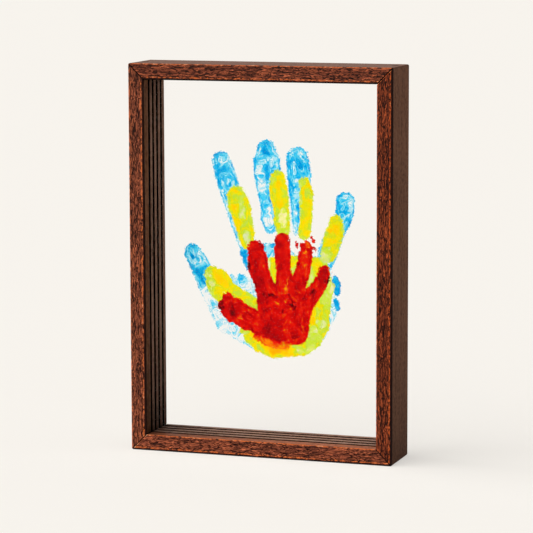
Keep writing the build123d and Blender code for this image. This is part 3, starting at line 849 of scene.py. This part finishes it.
# Strokes of more or less paint: (x, z) to (x, z), radius, change of load
BLUE_STROKES = (
    (-46.5, 227, -46, 214, 2.2, 0.4), (-44.5, 211, -43.5, 203, 1.5, 0.3),
    (-39.5, 216, -36.5, 205.5, 2.2, 0.4), (-43, 216, -42, 214.5, 1.5, 0.3),
    (-31, 218, -25.5, 203, 0.9, 0.5), (-43.5, 225, -43, 221, 2, -0.2),
    (-43, 210, -41.5, 201, 1.4, -0.35), (-40, 198, -35, 180, 2.5, -0.3),
    (-36.2, 186.5, -34, 179, 1.1, 0.5), (-34, 176, -27, 160, 3, -0.25),
    (-12, 239, -13.5, 233, 1.6, 0.4), (-8, 235, -4, 227, 2.5, 0.3),
    (-15, 228, -14.4, 221, 2.6, 0.35), (-7, 220, -4.8, 215, 3, 0.4),
    (-5, 214, -3, 193, 1.8, 0.4), (5, 227, 5.5, 218, 0.9, 0.4),
    (-11.5, 218, -10.5, 211, 3, -0.35), (-10, 207, -9, 204, 3, -0.4),
    (-2, 225, -1.5, 221, 1.2, -0.4), (-8, 190, -7, 186, 3, 0.2),
    (-3.5, 188, -1, 177, 1.3, -0.7), (-7, 180, -6, 175, 1.6, -0.5), (-2, 185, 0.5, 175, 0.7, 0.5),
    (12.3, 231, 12.8, 228, 2, 0.3), (17, 231, 19.4, 223, 1.4, 0.35),
    (13, 224, 14.6, 215, 1.8, 0.2), (21, 225, 22, 220, 2.5, 0.4),
    (16.2, 223, 17, 215, 1.4, -0.35), (21, 230, 23.5, 226, 1.2, -0.3),
    (28.5, 226, 28.8, 219, 0.9, 0.4), (12.5, 211, 13, 207, 2, 0.45),
    (15.5, 206, 18, 202, 1.5, 0.35), (18, 211, 18, 209, 1.6, -0.5),
    (19.8, 194, 20.3, 179, 1, 0.35), (17, 176, 17, 172, 2, -0.4),
    (50.5, 195, 52, 200, 1.8, 0.5), (52, 200.5, 58, 202, 1.8, 0.5),
    (50.3, 194, 50.5, 184, 1.2, 0.5), (62, 194, 61.5, 189, 2.2, -0.45),
    (58, 200, 57, 198, 1, -0.5), (60.5, 183, 61.5, 178, 2, 0.5), (57, 193, 55, 189, 0.9, 0.35),
    (-68.5, 157, -65.5, 154.5, 0.9, 0.45), (-69.5, 153, -66, 147, 1.3, 0.4),
    (-64, 150, -62, 144, 0.9, 0.35), (-68.6, 143.5, -58, 129, 2.2, 0.5),
    (-62.6, 137, -59, 135, 2.4, 0.4), (-57.5, 130, -56, 128, 2.4, 0.4),
    (-59.5, 151, -54.5, 145, 3, -0.15), (-26, 136, -27, 133, 2, 0.55),
    (-1.5, 162, -1, 159.5, 2, 0.6), (-24, 153, -21.5, 143, 1.6, 0.5),
    (-11, 212, -7, 190, 3, -0.08), (-6, 190, -4, 176, 3.5, -0.28),
)
YELLOW_STROKES = (
    (-33.5, 200, -32, 195, 3, 0.1), (-30, 188, -26, 174, 4, 0.15), (-35, 194, -34, 188, 3, -0.2),
    (-24, 196, -22, 176, 2.5, -0.2), (-31, 170, -28, 164, 3, -0.2), (-20, 170, -19, 162, 2, -0.25),
    (6, 208, 8, 192, 3.2, 0.25), (0, 205, 1, 188, 2.5, 0.1), (10, 187, 10.5, 177, 2.6, -0.45),
    (24, 207, 24, 194, 2, -0.25), (26, 205, 27, 198, 1.6, 0.35), (32, 196, 31, 182, 1.6, 0.15),
    (27, 178, 28, 172, 3, 0.1), (52, 176, 47, 160, 5, 0.2), (45, 157, 44, 152, 4, -0.35),
    (-42, 136, -37, 130, 5, 0.3), (-52, 137, -48, 127, 4, -0.15), (-36, 127, -24, 119, 3, 0.05),
    (-2, 150, -3, 138, 3, -0.25), (17, 152, 17, 145, 2, 0.1), (30, 143, 33, 133, 4, -0.2),
    (34, 148, 40, 143, 3, 0.15), (44, 122, 45, 106, 4, -0.15), (41, 100, 32, 84, 5, -0.15),
    (35, 122, 33, 104, 3, 0.35), (-12, 92, 2, 80, 5, 0.4), (2, 80, 16, 78, 4, 0.4),
    (47, 138, 49, 124, 4, -0.2),
)
RED_STROKES = (
    (-12, 152, -11, 140, 3, 0.12), (-14.8, 147, -14, 143, 1.2, 0.6), (-6, 164, -3.5, 160, 1.8, 0.2),
    (-8, 134, -2, 120, 5, 0.2), (14, 165, 14, 162, 3.5, -0.1), (30, 158, 29, 142, 3, -0.15),
    (31, 167, 33, 163, 2.0, -0.3), (12, 137, 14, 126, 3, -0.15), (9.5, 128, 10.5, 125, 0.7, -0.3),
    (17, 138, 15, 128, 0.4, -0.3), (46, 142, 45, 133, 3.5, 0.15), (49.5, 133, 50, 139, 1, 0.6),
    (-38, 116, -36, 112, 2.6, 0.4), (-30, 113, -26, 108, 3, 0.15), (-20, 108, -16, 104, 4, -0.1),
    (2, 96, 6, 90, 5, 0.22), (18, 125, 22, 113, 1.0, 0.35), (16, 104, 12, 95, 0.4, -0.3),
    (14.3, 119, 14.6, 118, 0.5, -0.6), (16, 120.5, 16.2, 120, 0.4, -0.6),
    (23, 128, 28, 126, 0.5, -0.35), (7, 117.5, 9, 117, 0.4, -0.4), (24, 146, 26, 139, 0.4, -0.3),
    (-5, 110, -2, 105, 0.4, -0.3), (27, 110, 30, 96, 0.4, -0.25), (19, 117, 22, 115, 1.0, 0.5),
    (2, 124, 8, 122, 1.2, 0.3), (30, 122, 36, 128, 1.6, 0.15), (-2, 155, 0, 146, 1.0, 0.2),
    (-9, 87.5, 18, 81.5, 4.0, -0.45),
)


def add_strokes(load, strokes, x, z):
    """Adds the strokes' changes to the load, with wandering edges."""
    spot_x = x + STROKE_WANDER * ripple(x, z, STROKE_WANDER_SIZE, 81.0)
    spot_z = z + STROKE_WANDER * ripple(x, z, STROKE_WANDER_SIZE, 91.0)
    for x1, z1, x2, z2, radius, change in strokes:
        length = math.hypot(x2 - x1, z2 - z1)
        reach = ((spot_x - x1) * (x2 - x1) + (spot_z - z1) * (z2 - z1)) / length ** 2
        share = np.clip(reach, 0, 1)
        gap = np.hypot(spot_x - x1 - share * (x2 - x1), spot_z - z1 - share * (z2 - z1))
        load = load + change * (1 - ease(gap / radius, 0.5, 1.4))
    return load


def limb_fields(hand, x, z):
    """For each point: depth inside the print in mm, place along the nearest limb, its number."""
    depth = np.full(x.shape, -1e3)
    along = np.zeros(x.shape)
    number = np.zeros(x.shape)
    for index, chain in enumerate(hand.values()):
        run = 0.0
        for (x1, z1, r1), (x2, z2, r2) in zip(chain, chain[1:]):
            length = math.hypot(x2 - x1, z2 - z1)
            reach = ((x - x1) * (x2 - x1) + (z - z1) * (z2 - z1)) / length
            share = np.clip(reach / length, 0, 1)
            inside = r1 + (r2 - r1) * share - np.hypot(x - x1 - share * (x2 - x1),
                                                       z - z1 - share * (z2 - z1))
            nearer = inside > depth
            depth = np.where(nearer, inside, depth)
            along = np.where(nearer, run + reach, along)
            number = np.where(nearer, index, number)
            run += length
    return depth, along, number


def ragged_edge(x, z, depth, along, seed, sides, tips):
    """The depth inside the print after its outline wanders, more at the finger tips than at the sides."""
    amount = sides + (tips - sides) * (1 - ease(along, 0, TIP_LENGTH))
    waves = ripple(x, z, BROAD_WAVE, seed) + ripple(x, z, FINE_WAVE, seed + 2)
    return depth + waves * amount + FRAY


def blue_paint(x, z, depth, along, number):
    """A thin, streaky print: rims and broken strokes along each finger, clear gaps between."""
    base = np.array(list(BLUE_LOADS.values()))[number.astype(int)]
    edge = ragged_edge(x, z, depth, along, 3.0, 0.5, 1.1)
    broken = ease(ripple(x, z, PATCH_SIZE, 29.0), -0.3, 0.25)
    rim = np.exp(-((edge - FRAY - RIM_INSET) / RIM_WIDTH) ** 2) * broken
    load = base + 0.15 * ripple(x, z, 6.0, 17.0) + RIM_LOAD * base ** 2 * rim
    load = load + STROKE_SHARE * add_strokes(np.zeros_like(x), BLUE_STROKES, x, z)
    return np.minimum(edge, (load + 0.1) * 8), np.clip(load, 0, 1)


def yellow_paint(x, z, depth, along, number):
    """A thicker print in flat overlapping dabs."""
    load = 0.42 + 0.2 * ripple(x, z, PATCH_SIZE, 47.0)
    load = add_strokes(load, YELLOW_STROKES, x, z)
    return ragged_edge(x, z, depth, along, 41.0, 0.8, 1.3), np.clip(load, 0.12, 1)


def red_paint(x, z, depth, along, number):
    """A dense print with ragged tips, darker pools and orange wrinkles."""
    load = 0.5 + 0.2 * ripple(x, z, PATCH_SIZE, 71.0)
    load = add_strokes(load, RED_STROKES, x, z)
    return ragged_edge(x, z, depth, along, 61.0, 0.6, 1.7), np.clip(load, 0, 1)


def paint_film(name, hand, centre_y, cell, lay_paint, material):
    """A film on the front of its sheet, cut out of a fine grid to the ragged outline of the paint."""
    circles = np.array([circle for chain in hand.values() for circle in chain])
    reach = circles[:, 2] + PRINT_MARGIN
    low = np.array([(circles[:, 0] - reach).min(), (circles[:, 1] - reach).min()])
    high = np.array([(circles[:, 0] + reach).max(), (circles[:, 1] + reach).max()])
    columns, rows = np.ceil((high - low) / cell).astype(int).tolist()
    size = np.array([columns, rows]) * cell
    bm = bmesh.new()
    edge_layer = bm.verts.layers.float.new("edge")
    load_layer = bm.verts.layers.float.new("load")
    along_layer = bm.verts.layers.float.new("along")
    bmesh.ops.create_grid(bm, x_segments=columns, y_segments=rows, size=0.5)
    verts = bm.verts[:]
    flat = np.array([vert.co for vert in verts])
    x = low[0] + (flat[:, 0] + 0.5) * size[0]
    z = low[1] + (flat[:, 1] + 0.5) * size[1]
    fields = limb_fields(hand, x, z)
    near = fields[0] > FAR_OUTSIDE
    edge = np.full(x.shape, FAR_OUTSIDE)
    load = np.zeros(x.shape)
    edge[near], load[near] = lay_paint(x[near], z[near], *[field[near] for field in fields])
    back_y = centre_y - SHEET_THICKNESS / 2 - FILM_CLEARANCE
    table = np.stack([x, z, edge, load, fields[1] + fields[2] * LANE_SHIFT], axis=1)
    for vert, (spot_x, spot_z, inside, amount, run) in zip(verts, table.tolist()):
        vert.co = (spot_x, back_y, spot_z)
        vert[edge_layer] = inside
        vert[load_layer] = amount
        vert[along_layer] = run
    bare = [f for f in bm.faces if sum(v[edge_layer] for v in f.verts) < 0]
    bmesh.ops.delete(bm, geom=bare, context="FACES")
    # Faces go where the film would hang together at a single point
    while True:
        pinched = set()
        for vert in bm.verts:
            if sum(e.is_boundary for e in vert.link_edges) > 2:
                pinched.update(vert.link_faces)
        if not pinched:
            break
        bmesh.ops.delete(bm, geom=list(pinched), context="FACES")
    rim = [v for v in bm.verts if v.is_boundary]
    bmesh.ops.smooth_vert(bm, verts=rim, factor=0.5, use_axis_x=True, use_axis_y=False,
                          use_axis_z=True)
    grown = bmesh.ops.extrude_face_region(bm, geom=bm.faces[:])
    for item in grown["geom"]:
        if isinstance(item, bmesh.types.BMVert):
            item.co.y -= (PAINT_THICKNESS - FILM_CLEARANCE) * (
                THINNEST_SHARE + (1 - THINNEST_SHARE) * item[load_layer])
    bmesh.ops.recalc_face_normals(bm, faces=bm.faces[:])
    return new_piece(name, bm, [material], smooth_angle=60)


def make_prints():
    blue = dried_paint(
        "dried_blue_paint",
        body=[
            (0.0, "e8f7fb"), (0.15, "ccedf9"), (0.19, "b8e9f8"), (0.36, "9ce2f8"), (0.41, "60cef4"),
            (0.56, "44caf2"), (0.62, "10b4ea"), (0.85, "00a2e0"), (1.0, "0090d4")],
        tint=[
            (0.0, "fbfeff"), (0.15, "e8f9ff"), (0.19, "d8f5ff"), (0.36, "c4f4ff"), (0.41, "9ceeff"),
            (0.56, "84ecff"), (0.62, "4ee6ff"), (1.0, "3adcff")],
        cover=(0.0, 0.9, 0.0, 0.66), streaks=((9.0, 1.2, 0.9), (3.5, 0.9, 0.4)),
        lines=((14.0, 1.5, 0.25), (11.0, 1.5, -0.3)), dabs=(3.0, 0.12), seams=0.0, fray=5.5, soft=0.5)
    yellow = dried_paint(
        "dried_yellow_paint",
        body=[
            (0.0, "f2eaa0"), (0.1, "e2e87c"), (0.14, "d4e450"), (0.34, "bcd82c"), (0.39, "dcd80c"),
            (0.56, "ecda00"), (0.62, "f4d000"), (0.84, "fac400"), (0.95, "f8ac00")],
        tint=[(0.0, "fdfbe0"), (0.2, "ecf69c"), (0.6, "f6ee20"), (1.0, "f6dc08")],
        cover=(0.0, 0.4, 0.45, 0.86), streaks=((4.0, 1.2, 0.25),), lines=((8.0, 1.5, -0.12),),
        dabs=(5.0, 0.4), seams=-0.06, fray=4.8, soft=0.2)
    red = dried_paint(
        "dried_red_paint",
        body=[
            (0.0, "f0a020"), (0.09, "ee7410"), (0.18, "e22c0a"), (0.24, "da1206"), (0.44, "d00804"),
            (0.48, "c20404"), (0.66, "aa0408"), (0.7, "94040a"), (1.0, "480508")],
        tint=[(0.0, "ffd040"), (0.18, "f06030"), (1.0, "b01010")],
        cover=(0.0, 0.2, 0.1, 0.99), streaks=((3.0, 1.0, 0.25), (6.0, 1.4, 0.25)),
        lines=((6.0, 1.5, -0.2), (5.0, 1.4, 0.16)), dabs=(5.0, 0.3), seams=-0.12, fray=3.5, soft=0.2)
    # Colour, hand, grid cell in mm, how the paint lies, material
    films = (("red", RED_HAND, 0.38, red_paint, red), ("yellow", YELLOW_HAND, 0.48, yellow_paint, yellow),
             ("blue", BLUE_HAND, 0.54, blue_paint, blue))
    for (colour, hand, cell, lay_paint, material), centre_y in zip(films, GROOVE_CENTRES[1:]):
        piece = paint_film(colour + "_print_film", hand, centre_y, cell, lay_paint, material)
        # The sheets lie so close that no film shades the next one
        piece.visible_shadow = False
        piece.visible_diffuse = False
        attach(piece, colour + "_sheet")
        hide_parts(colour + "_handprint")


def dress_fixings():
    """The screws and V nails keep their solids and take their metals."""
    metals = {"top_screw_left": browned_steel(), "v_nails_left": rolled_steel()}
    metals["top_screw_right"] = metals["top_screw_left"]
    metals["v_nails_right"] = metals["v_nails_left"]
    for node, metal in metals.items():
        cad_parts[node].material_slots[0].material = metal


# Studio: a pale floor and backdrop, a wide soft key from the upper left in front
BACKDROP = "f6f3ee"
FLOOR_HALF_SIZE = 30000.0
FLOOR_SHADE = 0.45
AMBIENT = 0.42
KEY_TOWARDS = (-0.62, -0.60, 0.60)
KEY_STRENGTH = 3.5
KEY_ANGLE = 95.0
KEY_COLOUR = (1.0, 0.985, 0.96)

# Camera, fitted to the photograph's corners
CAMERA_PLACE = (646.0, -1917.0, 425.0)
CAMERA_YAW = 18.662
CAMERA_PITCH = 7.885
CAMERA_ROLL = -0.17
CAMERA_LENS = 180.2
SENSOR_WIDTH = 36.0
CLIP_END_METRES = 200.0


def bright_rays(tree):
    """1 for rays that see the backdrop: straight from the camera, mirrored or through glass."""
    path = add(tree, "ShaderNodeLightPath").outputs
    both = add(tree, "ShaderNodeMath", {0: path["Is Camera Ray"], 1: path["Is Glossy Ray"]},
               operation="MAXIMUM")
    every = add(tree, "ShaderNodeMath", {0: both.outputs[0], 1: path["Is Transmission Ray"]},
                operation="MAXIMUM")
    return every.outputs[0]


def make_floor():
    material, tree = new_material("pale_studio_floor")
    shade = add(tree, "ShaderNodeBsdfDiffuse", {"Color": linear(BACKDROP)})
    glow = add(tree, "ShaderNodeEmission", {"Color": linear(BACKDROP), "Strength": 1.0})
    lit = add(tree, "ShaderNodeMath", {0: bright_rays(tree), 1: 1 - FLOOR_SHADE},
              operation="MULTIPLY")
    mixed = add(tree, "ShaderNodeMixShader", {
        0: lit.outputs[0], 1: shade.outputs["BSDF"], 2: glow.outputs["Emission"]})
    finish_material(tree, mixed.outputs["Shader"])
    bm = bmesh.new()
    bmesh.ops.create_grid(bm, x_segments=1, y_segments=1, size=FLOOR_HALF_SIZE)
    new_piece("studio_floor", bm, [material])


def make_light():
    world = bpy.data.worlds.new("studio")
    bpy.context.scene.world = world
    world.use_nodes = True
    tree = world.node_tree
    tree.nodes.clear()
    level = add(tree, "ShaderNodeMapRange", {"Value": bright_rays(tree), "To Min": AMBIENT, "To Max": 1.0})
    sky = add(tree, "ShaderNodeBackground", {
        "Color": linear(BACKDROP), "Strength": level.outputs["Result"]})
    add(tree, "ShaderNodeOutputWorld", {"Surface": sky.outputs["Background"]})
    lamp = bpy.data.lights.new("wide_key", "SUN")
    lamp.energy = KEY_STRENGTH
    lamp.angle = math.radians(KEY_ANGLE)
    lamp.color = KEY_COLOUR
    key = bpy.data.objects.new("wide_key", lamp)
    key.rotation_euler = Vector(KEY_TOWARDS).to_track_quat("Z", "Y").to_euler()
    bpy.context.scene.collection.objects.link(key)


def make_camera():
    data = bpy.data.cameras.new("photo_camera")
    data.lens = CAMERA_LENS
    data.sensor_width = SENSOR_WIDTH
    data.clip_end = CLIP_END_METRES
    camera = bpy.data.objects.new("photo_camera", data)
    turn = Matrix.Rotation(math.radians(CAMERA_YAW), 4, "Z")
    turn @= Matrix.Rotation(math.radians(90 - CAMERA_PITCH), 4, "X")
    turn @= Matrix.Rotation(math.radians(CAMERA_ROLL), 4, "Z")
    camera.matrix_world = Matrix.Translation(Vector(CAMERA_PLACE) * MM) @ turn
    bpy.context.scene.collection.objects.link(camera)
    bpy.context.scene.camera = camera


make_camera()
make_light()
make_floor()
make_frame()
make_sheets()
make_prints()
dress_fixings()
bpy.context.scene.view_settings.view_transform = "Standard"
bpy.context.scene.cycles.transparent_max_bounces = 32
